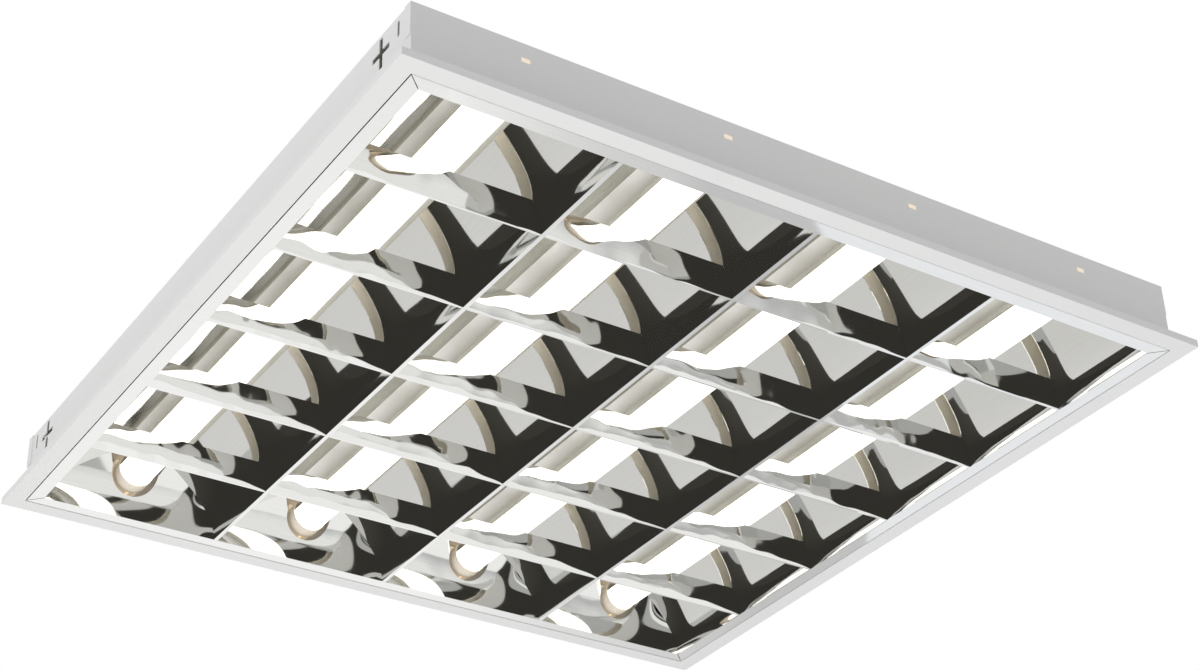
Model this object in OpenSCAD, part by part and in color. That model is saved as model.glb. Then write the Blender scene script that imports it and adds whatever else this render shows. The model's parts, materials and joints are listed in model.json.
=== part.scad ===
// Recessed ceiling light for a 600 mm grid: a sheet-steel tray, four lamp tubes
// lying along Y, and a mirror louvre that drops and swings down on its +X side.
// The origin is the centre of the trim's underside; Z points up into the ceiling.

/* [Tray] */
// Outside width and length of the trim
module_w = 595; // [590:1:610]
// Width of the trim's ledge, from the wall's outer face to the lip's outer face
trim_w = 12; // [10:0.5:13]
// Height from the trim's underside to the top of the pan
body_h = 50.5; // [50.5:0.5:60]
// Height of the lip that is turned up round the trim
lip_h = 5.3; // [3:0.1:10]
// Thickness of the tray's sheet steel
sheet_t = 0.7; // [0.5:0.1:1]
// Length of the end plate's tab that laps the side wall
tab_w = 6.8; // [4:0.2:7.5]
// Height from the underside to the lower end of that tab
tab_z = 27.7; // [15:0.1:32]

/* [Punched holes] */
// Distance from the end wall's inner face to the centre of a plus-shaped hole
plus_inset = 34.8; // [30:0.2:60]
// Distance from the pan's underside down to that centre
plus_drop = 12.1; // [11.3:0.1:15]
// Length of a plus-shaped hole's upright arm
plus_h = 21.8; // [16:0.2:22]
// Length of a plus-shaped hole's level arm
plus_l = 20; // [14:0.5:24]
// Width of both arms
plus_w = 4; // [3:0.1:5]
// Distance from the end wall's inner face to a slit's centre
slit_inset = 14.3; // [12:0.1:18]
// Width of a slit
slit_w = 2.3; // [1.5:0.1:3]
// Distance from the pan's underside down to a slit's centre
slit_drop = 8.6; // [7:0.1:12]
// Length of a slit
slit_h = 11.5; // [8:0.1:12]
// Width of the window that each lampholder's nose snaps into
window_w = 6.2; // [5:0.1:8]
// Height of that window
window_h = 3.3; // [2.5:0.1:4]
// Height of the window above the tube's axis
window_rise = 3.6; // [3:0.1:5]

/* [Louvre] */
// Gap between the louvre's rim and the tray's walls
louvre_gap = 0.6; // [0.5:0.1:1]
// How far the louvre sits above the trim's underside
louvre_lift = 0.3; // [0.3:0.1:1]
// Width of the flat strip round the louvre
strip_w = 10; // [8.5:0.5:11]
// Thickness of the louvre's aluminium
louvre_t = 0.5; // [0.3:0.1:0.6]
// Clear height between the long blades' upper edges and the pan
blade_clear = 6.5; // [5.5:0.5:11.5]
// Half the width of a long blade's flat underside
long_foot = 1.5; // [1.2:0.1:2]
// Distance from a tube's axis to a long blade's upper edge
top_gap = 25.6; // [25:0.1:31]
// Height of the cross-blades
cross_h = 19.5; // [15:0.5:20]
// Half the width of a cross-blade's underside
cross_foot = 0.8; // [0.75:0.05:1.2]
// How far a cross-blade's face swells out at its top
cross_spread = 4.7; // [3:0.1:6]
// How far an end reflector leans in at its top
end_spread = 14.8; // [13:0.1:15]
// How much narrower an outer cell is than a full one
outer_loss = 7.8; // [5:0.1:9]
// Height of the stiffening rim at the louvre's outer edge
rim_h = 6; // [4:0.5:6]
// Clear gap at the strips' mitred corners and between two lanes' end reflectors
mitre_gap = 0.8; // [0.4:0.1:1]
// Gap round a lamp tube's cap where it passes through an end reflector
cut_gap = 4.1; // [3.5:0.1:5]
// How much the cut-out widens on each side at the reflector's top
cut_flare = 4.3; // [3.5:0.1:5]

/* [Lamp tubes] */
// Radius of the lamp tube
tube_r = 13; // [12:0.1:13]
// Gap between a tube and the pan
tube_clear = 1.8; // [1.6:0.1:2.3]
// Wall of the tube's aluminium back
back_t = 1.2; // [1:0.1:1.5]
// Wall of the opal cover
cover_t = 1; // [0.8:0.1:1.2]
// Width of the groove that shows between the back and the cover
seam_w = 0.4; // [0.2:0.1:0.6]
// Length of an end cap
cap_l = 12; // [10:0.5:15]
// Wall of an end cap's sleeve
cap_t = 0.5; // [0.4:0.1:0.6]
// Thickness of an end cap's face
cap_face = 2; // [1.5:0.1:3]
// Radius of a contact pin
pin_r = 1.15; // [1:0.05:1.2]
// Distance between a cap's two pins
pin_gap = 12.7; // [12:0.1:13]
// Length of a pin outside its cap
pin_l = 7; // [6:0.1:7.3]
// Width of the light-source board
board_w = 10; // [8:0.5:14]
// Thickness of the boards
board_t = 1; // [0.8:0.1:1.2]
// Light sources on one board
led_count = 24; // [12:1:40]

/* [Lampholders] */
// Depth of a lampholder, from the end wall to its face
holder_d = 10.2; // [10:0.1:11]
// Radius of a lampholder's round lower part
holder_r = 12; // [11:0.1:12.5]
// Height of a lampholder above the tube's axis
holder_rise = 11; // [10:0.1:11.5]
// Radius of the turning rotor
rotor_r = 9; // [8.5:0.1:9.5]
// Depth of the rotor
rotor_d = 7.5; // [7.4:0.1:7.6]
// Width of the slot that takes the pins
slot_w = 2.8; // [2.6:0.1:3]

/* [Louvre hangers] */
// Distance of each hanger from the middle of the +X wall
hanger_y = 160; // [100:5:220]
// Width of a hanger strap
strap_w = 8; // [7:0.5:10]
// Thickness of a hanger strap
strap_t = 1; // [0.8:0.1:1.2]
// Distance of a strap's middle plane from the wall's inner face
strap_inset = 3.8; // [3.6:0.1:4]
// Radius of the rivet that a strap slides on
rivet_r = 1.5; // [1.2:0.1:1.6]
// Height of that rivet
rivet_z = 10; // [9.8:0.1:10.4]
// Radius of the rivet's head
rivet_head_r = 3.2; // [2.8:0.1:3.4]
// Thickness of the rivet's head
rivet_head_t = 1; // [0.8:0.1:1.2]
// Radius of the hinge pin
hinge_r = 1; // [0.8:0.1:1.1]
// Height of the hinge pin's axis
hinge_z = 4; // [3.8:0.1:4.2]
// Wall of the strap's eye and of the ears
ear_t = 0.8; // [0.6:0.1:0.9]
// Metal left above and below a strap's slot
strap_rim = 2.2; // [2:0.1:2.4]

/* [Catch springs] */
// Distance of each catch spring from the middle of the -X wall
catch_y = 180; // [100:5:220]
// Width of a catch spring
catch_w = 12; // [8:1:20]
// Thickness of a catch spring
catch_t = 0.4; // [0.3:0.05:0.4]
// Gap between the -X strip's rim and the wall, in which the springs' legs stand
latch_gap = 1; // [1:0.1:1.4]
// Height of the weld pad's top
catch_top = 24; // [20:0.5:30]
// Height at which the spring's pad ends
catch_bend = 14; // [12:0.5:16]

/* [Wiring] */
// Width of the terminal block, across its three ways
block_w = 32; // [30:1:36]
// Length of the terminal block along its wires
block_l = 16; // [14:0.5:20]
// Height of the terminal block
block_h = 13; // [12:0.5:14]
// Distance from the -Y wall to the block's middle
block_inset = 84.8; // [65:0.1:135]
// Distance between neighbouring ways
way_gap = 10; // [9.8:0.1:10.5]
// Radius of a way's wire hole
way_r = 1.7; // [1.5:0.1:1.9]
// Radius of a clamping screw
clamp_r = 2; // [1.8:0.1:2.1]
// Radius of a fixing screw
fix_r = 1.5; // [1.2:0.1:1.6]
// Radius of a fixing screw's head
fix_head_r = 2.4; // [2.2:0.1:2.6]
// Thickness of a fixing screw's head
fix_head_t = 1.6; // [1.2:0.1:2]
// Radius of the earth screw
earth_r = 2; // [1.8:0.1:2.2]
// Radius of the earth screw's head
earth_head_r = 3.8; // [3.5:0.1:4.2]
// Thickness of the earth screw's head
earth_head_t = 2.4; // [2:0.1:3]
// Bore of the cable entry
entry_r = 4.5; // [3:0.5:6]
// Wall of the grommet's neck
grommet_t = 2; // [1.5:0.1:3]
// How far the grommet's flanges reach past its neck
grommet_lip = 2.5; // [2:0.1:4]
// Thickness of each of the grommet's flanges
grommet_flange = 1.2; // [0.8:0.1:2]
// Distance from the -Y wall to the middle of the cable entry
entry_inset = 44.8; // [40:0.1:50]
// Radius of the internal wires
wire_r = 1.1; // [0.9:0.1:1.1]
// Gap that the wires keep from sheet metal
wire_fit = 0.4; // [0.3:0.1:0.5]

/* [Hidden] */
$fn = 64;

steel_white = [0.88, 0.89, 0.88];
mirror_grey = [0.70, 0.71, 0.72];
opal_white = [0.98, 0.98, 0.96];
plastic_white = [0.93, 0.92, 0.88];
brass = [0.80, 0.66, 0.36];
zinc = [0.62, 0.63, 0.64];

// Overrun of every cut, running clearance and seat clearance
over = 1;
fit = 0.1;
seat = 0.3;
// Straight pieces in one curved blade face
curve_steps = 14;

// Tray
half = module_w / 2;
wall_out = half - trim_w;
wall_in = wall_out - sheet_t;
pan_z = body_h - sheet_t;
plus_z = pan_z - plus_drop;
slit_z = pan_z - slit_drop;

// Louvre
long_h = pan_z - blade_clear - louvre_lift;
rim_half = wall_in - louvre_gap;
foot = rim_half - strip_w;
grid_half = foot + outer_loss;
lanes = 4;
cells = 6;
lane_pitch = 2 * grid_half / lanes;
cross_pitch = 2 * grid_half / cells;
long_spread = lane_pitch / 2 - long_foot - top_gap;
tube_xs = [for (i = [0:lanes - 1]) (i - (lanes - 1) / 2) * lane_pitch];
blade_xs = [for (i = [1:lanes - 1]) i * lane_pitch - grid_half];
cross_ys = [for (i = [1:cells - 1]) i * cross_pitch - grid_half];

// Lamp tubes
tube_z = pan_z - tube_clear - tube_r;
cap_r = tube_r + fit + cap_t;
cap_end = wall_in - holder_d - seat;
tube_half = cap_end - cap_face - seat;
cut_r = cap_r + cut_gap;
cavity_r = tube_r - back_t;
hook_t = 0.8;
hook_rise = 2.2;
hook_drop = 1.5;
hook_out = sqrt(pow(cavity_r, 2) - pow(hook_rise, 2)) - fit;
platform_t = 1.5;
platform_z = hook_rise + fit;
led_w = 2.8;
led_h = 0.7;
driver_l = 92;
driver_w = 15;
driver_part_l = 14;
driver_part_w = 9;
driver_part_h = 4;
driver_parts = 3;

// Lampholders
holder_face = wall_in - holder_d;
nose_w = window_w - 2 * seat;
nose_h = window_h - 2 * seat;
nose_l = sheet_t - fit;

// Louvre hangers
hinge_x = wall_in - strap_inset;
eye_r = hinge_r + fit + ear_t;
slot_r = rivet_r + fit;
strap_top = pan_z - over;
hanger_drop = strap_top - strap_rim - slot_r - rivet_z;
ear_half = 2.5;
ear_top = 2.5;
ear_y = strap_w / 2 + seat;
rim_notch = ear_y + ear_t + over;

// Catch springs
latch_rim = wall_in - latch_gap;
catch_leg = latch_rim + seat;
catch_foot = 2.7;

// Wiring
clamp_l = 6;
clamp_sink = 0.6;
block_y = wall_in - block_inset;
entry_y = entry_inset - wall_in;
way_z = pan_z - block_h / 2;
earth_x = way_gap - earth_r - fit - wire_r;
earth_y = -block_y + 2 * block_l;
grommet_r = entry_r + grommet_t;

// Heights and distances that the internal wires keep
way_end = block_y - block_l / 2;
way_mouth = block_y + block_l / 2;
high_z = pan_z - wire_r - wire_fit;
earth_z = pan_z - wire_r - fit;
run_z = tube_z + holder_rise + wire_r + fit;
outer_run = wall_in - wire_r - wire_fit;
inner_run = outer_run - 2 * wire_r - wire_fit;
end_x = tube_xs[lanes - 1] + holder_r;
plus_y = wall_in - plus_inset;
side_x = wall_in - wire_r - wire_fit;

// Routes of the internal wires
live_route = [
    [-way_gap, -way_mouth + over, way_z], [-way_gap, -way_mouth - 4, way_z],
    [-way_gap, -way_mouth - 14, high_z], [-way_gap, -inner_run + 14, high_z],
    [-way_gap - 3, -inner_run + 3, high_z - 0.3], [-way_gap - 12, -inner_run, run_z],
    [-end_x - 8, -inner_run, run_z], [-end_x - 12, -(inner_run + outer_run) / 2, run_z],
    [-end_x - 8, -outer_run, run_z], [tube_xs[lanes - 1], -outer_run, run_z]
];
neutral_route = [
    [0, -way_end - over, way_z], [0, -way_end + 4, way_z], [0, -way_end + 14, high_z],
    [0, inner_run - 14, high_z], [3, inner_run - 3, high_z - 0.3], [12, inner_run, run_z],
    [end_x + 8, inner_run, run_z], [end_x + 12, (inner_run + outer_run) / 2, run_z],
    [end_x + 8, outer_run, run_z], [-end_x, outer_run, run_z],
    [-end_x - 18, outer_run - 2, run_z - 1], [4 - side_x, plus_y + 22, plus_z + 6],
    [-side_x, plus_y + 12, plus_z + 3], [-side_x, plus_y + 2, plus_z],
    [-side_x, plus_y - 6, plus_z - 3], [4 - side_x, plus_y - 14, plus_z - 7],
    [12 - side_x, plus_y - 16, plus_z - 9], [17 - side_x, plus_y - 8, plus_z - 10],
    [17 - side_x, plus_y + 12, plus_z - 10], [22 - side_x, plus_y + 24, plus_z - 10],
    [34 - side_x, plus_y + 28, plus_z - 9], [-end_x - fit, plus_y + 30, plus_z - 8]
];
earth_route = [
    [way_gap, -way_end - over, way_z], [way_gap, -way_end + 4, way_z],
    [way_gap, -way_end + 14, high_z - 0.6], [way_gap, earth_y - 4, earth_z],
    [way_gap, earth_y + 4, earth_z]
];

// Straight sections along one axis of the part

module along_y(len) {
    rotate([90, 0, 0])
        linear_extrude(height = len, center = true)
            children();
}

module along_x(len) {
    rotate([90, 0, 90])
        linear_extrude(height = len, center = true)
            children();
}

// A box with its middle at [x, y] and its floor at z
module block_at(x, y, z, w, l, h) {
    translate([x - w / 2, y - l / 2, z])
        cube([w, l, h]);
}

// Both ends of the part, the second one turned half round
module both_ends() {
    for (turn = [0, 180])
        rotate([0, 0, turn])
            children();
}

// A plan with ends mitred at 45 degrees, from a to b along X
module mitred(a, b, gap) {
    polygon([[a, gap / 2 - a], [b, gap / 2 - b], [b, b - gap / 2], [a, a - gap / 2]]);
}

// Tray

module trim_side() {
    linear_extrude(sheet_t)
        mitred(wall_in, half, 0);
    linear_extrude(lip_h)
        mitred(half - sheet_t, half, 0);
}

module wall_punches() {
    for (side = [-1, 1], end = [-1, 1]) {
        block_at(side * wall_in, end * (wall_in - plus_inset), plus_z - plus_h / 2,
            4 * over, plus_w, plus_h);
        block_at(side * wall_in, end * (wall_in - plus_inset), plus_z - plus_w / 2,
            4 * over, plus_l, plus_w);
        translate([side * wall_in, end * (wall_in - slit_inset), slit_z])
            along_x(4 * over)
                slit_outline();
    }
}

module slit_outline() {
    square([slit_w, slit_h - slit_w], center = true);
    for (end = [-1, 1])
        translate([0, end * (slit_h - slit_w) / 2])
            circle(slit_w / 2);
}

module pan_holes() {
    translate([0, entry_y, pan_z - over])
        cylinder(r = grommet_r + fit, h = sheet_t + 2 * over);
    translate([earth_x, earth_y, pan_z - over])
        cylinder(r = earth_r + fit / 2, h = sheet_t + 2 * over);
    for (side = [-1, 1])
        translate([side * way_gap / 2, -block_y, pan_z - over])
            cylinder(r = fix_r + fit / 2, h = sheet_t + 2 * over);
}

module body_tray() {
    color(steel_white)
        difference() {
            union() {
                difference() {
                    block_at(0, 0, 0, 2 * wall_out, 2 * wall_in, body_h);
                    block_at(0, 0, -over, 2 * wall_in, 2 * half, pan_z + over);
                }
                both_ends()
                    trim_side();
            }
            wall_punches();
            pan_holes();
            for (end = [-1, 1])
                translate([wall_in - over, end * hanger_y, rivet_z])
                    rotate([0, 90, 0])
                        cylinder(r = rivet_r + fit / 2, h = sheet_t + 2 * over);
        }
}

// The end plate at +Y
module end_plate() {
    color(steel_white)
        difference() {
            union() {
                block_at(0, wall_in + sheet_t / 2, sheet_t, 2 * wall_out, sheet_t, body_h - sheet_t);
                rotate([0, 0, 90])
                    trim_side();
                for (side = [-1, 1])
                    block_at(side * (wall_out + sheet_t / 2), wall_out - tab_w / 2, tab_z,
                        sheet_t, tab_w, body_h - tab_z);
            }
            for (x = tube_xs)
                block_at(x, wall_in, tube_z + window_rise - window_h / 2,
                    window_w, 4 * over, window_h);
        }
}

module end_plate_near() mirror([0, 1, 0]) end_plate();
module end_plate_far() end_plate();

// Louvre: curved faces

// Distance of a curved face from its foot at the share s of its height
function swell(spread, s) = spread * s * s;

// Level thickness of the sheet where the face leans
function lean_t(spread, h, s) = louvre_t * sqrt(1 + pow(2 * spread * s / h, 2));

function steps(from, to) = [for (i = [0:curve_steps]) from + (to - from) * i / curve_steps];

// Section of a hollow blade: open at the top, flat at the foot
module blade_section(foot_w, spread, h) {
    out = [for (s = steps(0, 1)) [foot_w + swell(spread, s), s * h]];
    in = [for (s = steps(louvre_t / h, 1))
        [foot_w + swell(spread, s) - lean_t(spread, h, s), s * h]];
    back = [for (i = [curve_steps:-1:0]) in[i]];
    polygon(concat(out, back, mirror_x(in), mirror_x([for (i = [curve_steps:-1:0]) out[i]])));
}

function mirror_x(points) = [for (p = points) [-p[0], p[1]]];

// Outline of a solid blade, grown on each side, from the floor z up
module blade_outline(foot_w, spread, h, grow, z) {
    out = [for (s = steps(z / h, 1)) [foot_w + swell(spread, s) + grow, s * h]];
    top = [[foot_w + spread + grow, h + grow], [-foot_w - spread - grow, h + grow]];
    polygon(concat(out, top, mirror_x([for (i = [curve_steps:-1:0]) out[i]])));
}

// Space between two facing reflectors, less a gap on each side
module room_outline(spread, gap) {
    out = [for (s = steps(0, 1)) [foot - swell(spread, s) - gap, s * long_h]];
    polygon(concat(out, mirror_x([for (i = [curve_steps:-1:0]) out[i]])));
}

module lifted() {
    translate([0, 0, louvre_lift])
        children();
}

// Section of a reflector's curved sheet, which stands on its border strip
module face_section(spread) {
    shares = steps(louvre_t / long_h, 1);
    face = [for (s = shares) [foot - swell(spread, s), s * long_h]];
    rear = [for (i = [curve_steps:-1:0])
        [face[i][0] + lean_t(spread, long_h, shares[i]), face[i][1]]];
    polygon(concat(face, rear));
}

// Border strip at +X with its stiffening rim, shared by all four sides
module border_strip(reach) {
    lifted() {
        linear_extrude(louvre_t)
            mitred(foot, reach, mitre_gap);
        block_at(reach - louvre_t / 2, 0, 0, louvre_t, 2 * (reach - louvre_t) - mitre_gap,
            rim_h);
    }
}

module border_strips() {
    color(mirror_grey)
        for (turn = [90, 180, 270])
            rotate([0, 0, turn])
                border_strip(turn == 180 ? latch_rim : rim_half);
}

// The strip at +X has two pairs of ears for the hinge pins
module hinge_strip() {
    color(mirror_grey)
        difference() {
            union() {
                difference() {
                    border_strip(rim_half);
                    for (end = [-1, 1])
                        block_at(rim_half, end * hanger_y, louvre_lift + louvre_t,
                            2 * over, 2 * rim_notch, rim_h);
                }
                for (end = [-1, 1], side = [-1, 1])
                    block_at(hinge_x, end * hanger_y + side * (ear_y + ear_t / 2), louvre_lift,
                        2 * ear_half, ear_t, hinge_z + ear_top - louvre_lift);
            }
            for (end = [-1, 1])
                translate([hinge_x, end * hanger_y, hinge_z])
                    rotate([90, 0, 0])
                        cylinder(r = hinge_r + fit / 2, h = 2 * rim_notch, center = true);
        }
}

module side_reflector() {
    lifted()
        intersection() {
            along_y(2 * half)
                face_section(long_spread);
            along_x(2 * half)
                room_outline(end_spread, fit);
        }
}

module side_reflector_left() {
    color(mirror_grey)
        mirror([1, 0, 0])
            side_reflector();
}

module side_reflector_right() {
    color(mirror_grey)
        side_reflector();
}

// Cut-out that a lamp tube and its cap stand in
module tube_cut(x) {
    top = louvre_lift + long_h;
    translate([x, 0])
        union() {
            translate([0, tube_z])
                circle(cut_r);
            polygon([[-cut_r, tube_z], [cut_r, tube_z], [cut_r + cut_flare, top],
                [cut_r + cut_flare, top + over], [-cut_r - cut_flare, top + over],
                [-cut_r - cut_flare, top]]);
        }
}

// The end reflector at +Y: one sheet in each lane, parted behind the long blades
module end_reflector() {
    color(mirror_grey)
        difference() {
            lifted()
                intersection() {
                    along_x(2 * half)
                        face_section(end_spread);
                    along_y(2 * half)
                        room_outline(long_spread, -louvre_t);
                }
            for (x = tube_xs)
                translate([0, foot - end_spread / 2, 0])
                    along_y(2 * end_spread)
                        tube_cut(x);
            for (x = blade_xs)
                block_at(x, foot, 0, mitre_gap, 4 * end_spread, 2 * long_h);
        }
}

module end_reflector_near() mirror([0, 1, 0]) end_reflector();
module end_reflector_far() end_reflector();

// Long blade over x, slotted from side to side for the cross-blades
module long_blade(x) {
    color(mirror_grey)
        difference() {
            intersection() {
                translate([x, 0, louvre_lift])
                    along_y(2 * half)
                        blade_section(long_foot, long_spread, long_h);
                lifted()
                    along_x(2 * half)
                        room_outline(end_spread, fit);
            }
            for (y = cross_ys)
                translate([x, y, louvre_lift])
                    along_x(2 * (long_foot + long_spread + over))
                        blade_outline(cross_foot, cross_spread, cross_h, fit, louvre_t);
        }
}

module long_blade_1() long_blade(blade_xs[0]);
module long_blade_2() long_blade(blade_xs[1]);
module long_blade_3() long_blade(blade_xs[2]);

// Cross-blade over y, notched over the long blades' feet
module cross_blade(y) {
    color(mirror_grey)
        difference() {
            intersection() {
                translate([0, y, louvre_lift])
                    along_x(2 * half)
                        blade_section(cross_foot, cross_spread, cross_h);
                lifted()
                    along_y(2 * half)
                        room_outline(long_spread, fit);
            }
            for (x = blade_xs)
                block_at(x, y, louvre_lift - over, 2 * (long_foot + fit), 2 * cross_h,
                    louvre_t + fit + over);
        }
}

module cross_blade_1() cross_blade(cross_ys[0]);
module cross_blade_2() cross_blade(cross_ys[1]);
module cross_blade_3() cross_blade(cross_ys[2]);
module cross_blade_4() cross_blade(cross_ys[3]);
module cross_blade_5() cross_blade(cross_ys[4]);

// Louvre hangers

// A strap hangs in a plane along the wall; its eye turns on the hinge pin
module hanger_strap(y) {
    translate([hinge_x, y, 0])
        difference() {
            union() {
                block_at(0, 0, hinge_z, strap_t, strap_w, strap_top - hinge_z);
                translate([0, 0, hinge_z])
                    rotate([90, 0, 0])
                        cylinder(r = eye_r, h = strap_w, center = true);
            }
            translate([0, 0, hinge_z])
                rotate([90, 0, 0])
                    cylinder(r = hinge_r + fit, h = strap_w + 2 * over, center = true);
            for (z = [rivet_z, rivet_z + hanger_drop])
                translate([-over, 0, z])
                    rotate([0, 90, 0])
                        cylinder(r = slot_r, h = 2 * over);
            block_at(0, 0, rivet_z, 2 * over, 2 * slot_r, hanger_drop);
        }
}

module hanger_straps() {
    color(zinc) {
        hanger_strap(-hanger_y);
        hanger_strap(hanger_y);
    }
}

// Shouldered rivet, flush with the wall's outer face
module hanger_rivet(y) {
    shoulder_r = (rivet_r + rivet_head_r) / 2;
    shoulder_x = hinge_x + strap_t / 2 + seat;
    head_x = hinge_x - strap_t / 2 - seat - rivet_head_t;
    translate([0, y, rivet_z])
        rotate([0, 90, 0]) {
            translate([0, 0, head_x])
                cylinder(r = rivet_r, h = wall_out - head_x);
            translate([0, 0, head_x])
                cylinder(r = rivet_head_r, h = rivet_head_t);
            translate([0, 0, shoulder_x])
                cylinder(r = shoulder_r, h = wall_in - shoulder_x);
        }
}

module hanger_rivets() {
    color(zinc) {
        hanger_rivet(-hanger_y);
        hanger_rivet(hanger_y);
    }
}

module hinge_pins() {
    head_y = ear_y + ear_t + fit;
    color(zinc)
        for (end = [-1, 1])
            translate([hinge_x, end * hanger_y, hinge_z])
                rotate([90, 0, 0]) {
                    cylinder(r = hinge_r, h = 2 * head_y, center = true);
                    for (side = [-1, 1])
                        translate([0, 0, side * (head_y + ear_t / 2)])
                            cylinder(r = hinge_r + ear_t, h = ear_t, center = true);
                }
}

// Spring strip: a pad on the wall, a jog inwards and a leg that presses on the rim
module catch_outline() {
    polygon([
        [wall_in, catch_top], [wall_in, catch_bend],
        [catch_leg + catch_t, catch_bend - catch_t], [catch_leg + catch_t, catch_foot],
        [catch_leg, catch_foot], [catch_leg, catch_bend - catch_t],
        [wall_in - catch_t, catch_bend], [wall_in - catch_t, catch_top]
    ]);
}

module catch_springs() {
    color(zinc)
        mirror([1, 0, 0])
            for (end = [-1, 1])
                translate([0, end * catch_y, 0])
                    along_y(catch_w)
                        catch_outline();
}

// Lamp tubes

module back_section() {
    difference() {
        circle(tube_r);
        circle(cavity_r);
        translate([-2 * tube_r, seam_w / 2 - 2 * tube_r])
            square([4 * tube_r, 2 * tube_r]);
    }
    intersection() {
        circle(tube_r - back_t / 2);
        translate([-tube_r, platform_z])
            square([2 * tube_r, platform_t]);
    }
}

module cover_section() {
    hook_x = hook_out - hook_t;
    difference() {
        circle(tube_r);
        circle(tube_r - cover_t);
        translate([-2 * tube_r, -seam_w / 2])
            square([4 * tube_r, 2 * tube_r]);
    }
    for (side = [0, 1])
        mirror([side, 0]) {
            translate([hook_x, -hook_drop])
                square([hook_t, hook_drop + hook_rise]);
            translate([hook_x, -hook_drop])
                square([tube_r - cover_t / 2 - hook_x, hook_drop - seam_w / 2]);
        }
}

module tube_back(x) {
    color(mirror_grey)
        translate([x, 0, tube_z])
            along_y(2 * tube_half)
                back_section();
}

module tube_cover(x) {
    color(opal_white)
        translate([x, 0, tube_z])
            along_y(2 * tube_half)
                cover_section();
}

module led_board(x) {
    board_l = 2 * (tube_half - cap_l);
    led_pitch = board_l / led_count;
    color(opal_white) {
        block_at(x, 0, tube_z + platform_z - board_t, board_w, board_l, board_t);
        for (i = [0:led_count - 1])
            block_at(x, (i + 1 / 2) * led_pitch - board_l / 2,
                tube_z + platform_z - board_t - led_h, led_w, led_w, led_h);
    }
}

module driver_board(x) {
    start_y = -tube_half + cap_l;
    floor_z = tube_z + platform_z + platform_t;
    part_pitch = driver_l / driver_parts;
    color("seagreen") {
        block_at(x, start_y + driver_l / 2, floor_z, driver_w, driver_l, board_t);
        for (i = [0:driver_parts - 1])
            block_at(x, start_y + (i + 1 / 2) * part_pitch, floor_z + board_t,
                driver_part_w, driver_part_l, driver_part_h);
    }
}

module tube_cap(x) {
    translate([x, cap_end, tube_z])
        rotate([90, 0, 0])
            difference() {
                cylinder(r = cap_r, h = cap_l);
                translate([0, 0, cap_face])
                    cylinder(r = tube_r + fit, h = cap_l);
                for (side = [-1, 1])
                    translate([side * pin_gap / 2, 0, -over])
                        cylinder(r = pin_r + fit / 2, h = cap_face + 2 * over);
            }
}

module tube_caps(x) {
    color(plastic_white) {
        tube_cap(x);
        mirror([0, 1, 0])
            tube_cap(x);
    }
}

module tube_pins(x) {
    color(brass)
        for (end = [0, 1], side = [-1, 1])
            mirror([0, end, 0])
                translate([x + side * pin_gap / 2, cap_end + pin_l, tube_z])
                    rotate([90, 0, 0])
                        cylinder(r = pin_r, h = pin_l + cap_face);
}

// Rotor of one lampholder, its slot level when the tube is locked
module rotor(x) {
    translate([x, holder_face + fit + rotor_d, tube_z])
        rotate([90, 0, 0])
            difference() {
                cylinder(r = rotor_r, h = rotor_d);
                translate([-rotor_r - over, -slot_w / 2, fit + rotor_d - pin_l - over / 2])
                    cube([2 * (rotor_r + over), slot_w, rotor_d]);
            }
}

module rotors(x) {
    color(plastic_white) {
        rotor(x);
        mirror([0, 1, 0])
            rotor(x);
    }
}

module tube_back_1() tube_back(tube_xs[0]);
module tube_back_2() tube_back(tube_xs[1]);
module tube_back_3() tube_back(tube_xs[2]);
module tube_back_4() tube_back(tube_xs[3]);
module tube_cover_1() tube_cover(tube_xs[0]);
module tube_cover_2() tube_cover(tube_xs[1]);
module tube_cover_3() tube_cover(tube_xs[2]);
module tube_cover_4() tube_cover(tube_xs[3]);
module led_board_1() led_board(tube_xs[0]);
module led_board_2() led_board(tube_xs[1]);
module led_board_3() led_board(tube_xs[2]);
module led_board_4() led_board(tube_xs[3]);
module driver_board_1() driver_board(tube_xs[0]);
module driver_board_2() driver_board(tube_xs[1]);
module driver_board_3() driver_board(tube_xs[2]);
module driver_board_4() driver_board(tube_xs[3]);
module tube_caps_1() tube_caps(tube_xs[0]);
module tube_caps_2() tube_caps(tube_xs[1]);
module tube_caps_3() tube_caps(tube_xs[2]);
module tube_caps_4() tube_caps(tube_xs[3]);
module tube_pins_1() tube_pins(tube_xs[0]);
module tube_pins_2() tube_pins(tube_xs[1]);
module tube_pins_3() tube_pins(tube_xs[2]);
module tube_pins_4() tube_pins(tube_xs[3]);
module rotors_1() rotors(tube_xs[0]);
module rotors_2() rotors(tube_xs[1]);
module rotors_3() rotors(tube_xs[2]);
module rotors_4() rotors(tube_xs[3]);

// Lampholders

// A holder's outline: round below the tube's axis, square above it
module holder_outline() {
    intersection() {
        circle(holder_r);
        translate([-holder_r, -holder_r])
            square([2 * holder_r, holder_r]);
    }
    translate([-holder_r, 0])
        square([2 * holder_r, holder_rise]);
}

// Body of one holder at +Y, with the rotor's bore and the pins' way in from below
module lampholder(x) {
    bore_d = rotor_d + 2 * fit;
    difference() {
        union() {
            translate([x, wall_in, tube_z])
                rotate([90, 0, 0])
                    linear_extrude(holder_d)
                        holder_outline();
            block_at(x, wall_in + nose_l / 2, tube_z + window_rise - nose_h / 2,
                nose_w, nose_l, nose_h);
        }
        translate([x, holder_face + bore_d, tube_z])
            rotate([90, 0, 0])
                cylinder(r = rotor_r + fit, h = bore_d + over);
        block_at(x, holder_face + bore_d / 2 - over / 2, tube_z - holder_r - over,
            slot_w, bore_d + over, holder_r + over);
    }
}

module lampholders_far() {
    color(plastic_white)
        for (x = tube_xs)
            lampholder(x);
}

module lampholders_near() {
    mirror([0, 1, 0])
        lampholders_far();
}

// Wiring

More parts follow.
